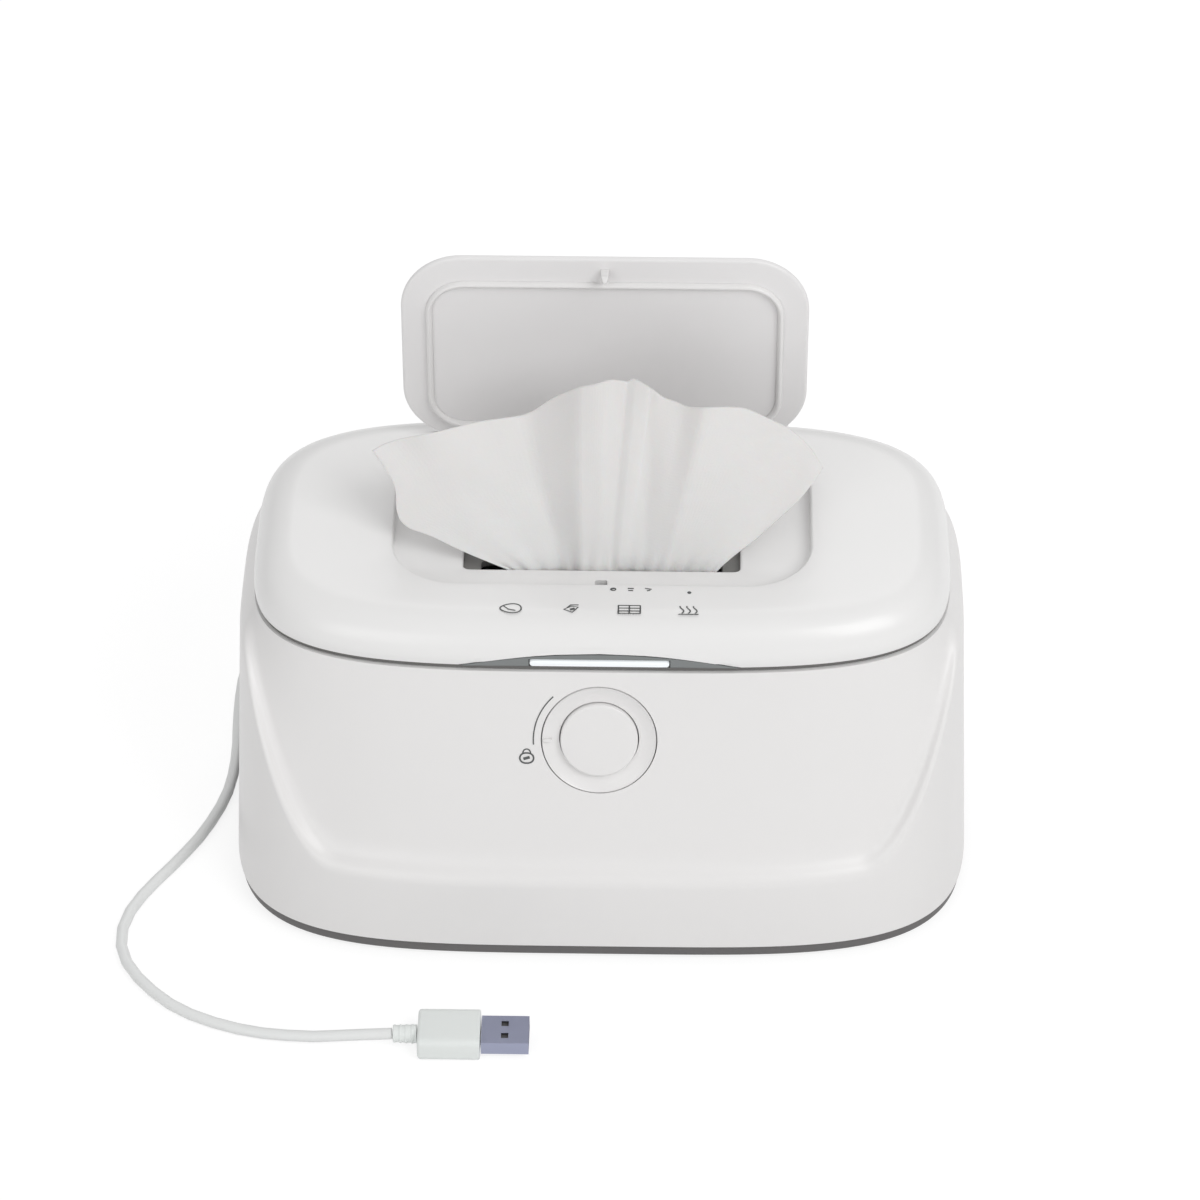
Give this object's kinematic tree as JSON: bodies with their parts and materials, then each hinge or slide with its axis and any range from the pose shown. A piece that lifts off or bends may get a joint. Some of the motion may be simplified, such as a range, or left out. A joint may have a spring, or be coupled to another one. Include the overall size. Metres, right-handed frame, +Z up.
{
  "type": "baby wipe warmer",
  "caption": "Warmer for wet wipes: a heated tank in a leaning housing, a hinged lid with a flap over its slot, a push button with a lock dial, and a USB lead.",
  "frame": {"origin": "middle of the footprint, on the surface that it stands on", "axes": "+Z up, +X to the right seen from the front, the front with the button faces -Y"},
  "size_m": [0.2646, 0.2718, 0.1797],
  "materials": {
    "white_plastic": "fine satin moulding",
    "dark_plastic": "satin moulding",
    "silicone": "matt",
    "steel": "plated",
    "aluminium": "rolled",
    "film": "amber film",
    "foam": "foam",
    "board": "solder mask",
    "light_bar": "milky",
    "wipe_cloth": "moist nonwoven",
    "cord": "soft satin"
  },
  "bodies": {
    "housing": {"outer_housing": "white_plastic", "base_cover": "dark_plastic", "foot_1": "silicone", "foot_2": "silicone", "foot_3": "silicone", "foot_4": "silicone", "base_screw_1": "steel", "base_screw_2": "steel", "base_screw_3": "steel", "base_screw_4": "steel", "tank": "dark_plastic", "wipe_stack": "wipe_cloth", "heater_plate": "aluminium", "heater_film": "film", "insulation_pad": "foam", "thermal_cutout": "steel", "main_board": "board", "board_screw_1": "steel", "board_screw_2": "steel", "board_screw_3": "steel", "board_screw_4": "steel", "light_bezel": "dark_plastic", "light_bar": "light_bar", "led_board": "board", "button_spring": "steel", "latch_bracket": "white_plastic", "latch_pin": "steel", "lid_hinge_pin_left": "steel", "lid_hinge_pin_right": "steel", "strain_relief": "white_plastic", "cord_lead": "cord", "cord_coil": "cord", "cord_tie": "silicone", "cord_run": "cord", "plug_sleeve": "cord", "plug_body": "cord", "plug_shell": "steel", "plug_tongue": "dark_plastic"},
    "lid": {"lid_cover": "white_plastic", "lid_liner": "white_plastic", "lid_gasket": "silicone", "slot_lips": "silicone", "touch_board": "board", "lid_catch": "white_plastic", "flap_hinge_pin": "steel", "wipe_sheet": "wipe_cloth", "liner_screw_1": "steel", "liner_screw_2": "steel", "liner_screw_3": "steel", "liner_screw_4": "steel"},
    "flap": {"flap_panel": "white_plastic", "flap_seal": "white_plastic", "flap_hook": "white_plastic"},
    "button": {"push_button": "white_plastic"},
    "dial": {"lock_dial": "white_plastic"},
    "latch": {"latch_lever": "dark_plastic"}
  },
  "joints": [
    {"name": "lid_hinge", "type": "hinge", "parent": "housing", "child": "lid", "pos_m": [0, 0.064, 0.0976], "axis": [-1, 0, 0], "range_deg": [0, 75]},
    {"name": "flap_hinge", "type": "hinge", "parent": "lid", "child": "flap", "pos_m": [0, 0.042, 0.1087], "axis": [1, 0, 0], "range_deg": [0, 90], "deforming": ["wipe_sheet"]},
    {"name": "button_press", "type": "slide", "parent": "housing", "child": "button", "axis": [0, 0.9588, -0.2841], "range_m": [0, 0.002], "stiffness_N_per_m": 300, "springref_m": -0.002, "deforming": ["button_spring"]},
    {"name": "latch_pivot", "type": "hinge", "parent": "housing", "child": "latch", "pos_m": [0, -0.0474, 0.082], "axis": [1, 0, 0], "range_deg": [0, 12.5]},
    {"name": "dial_turn", "type": "hinge", "parent": "housing", "child": "dial", "pos_m": [0, -0.05984, 0.0736], "axis": [0, 0.9588, -0.2841], "range_deg": [0, 45]}
  ],
  "couplings": [
    {"joint": "latch_pivot", "follows": "button_press", "rad_per_m": 104}
  ]
}
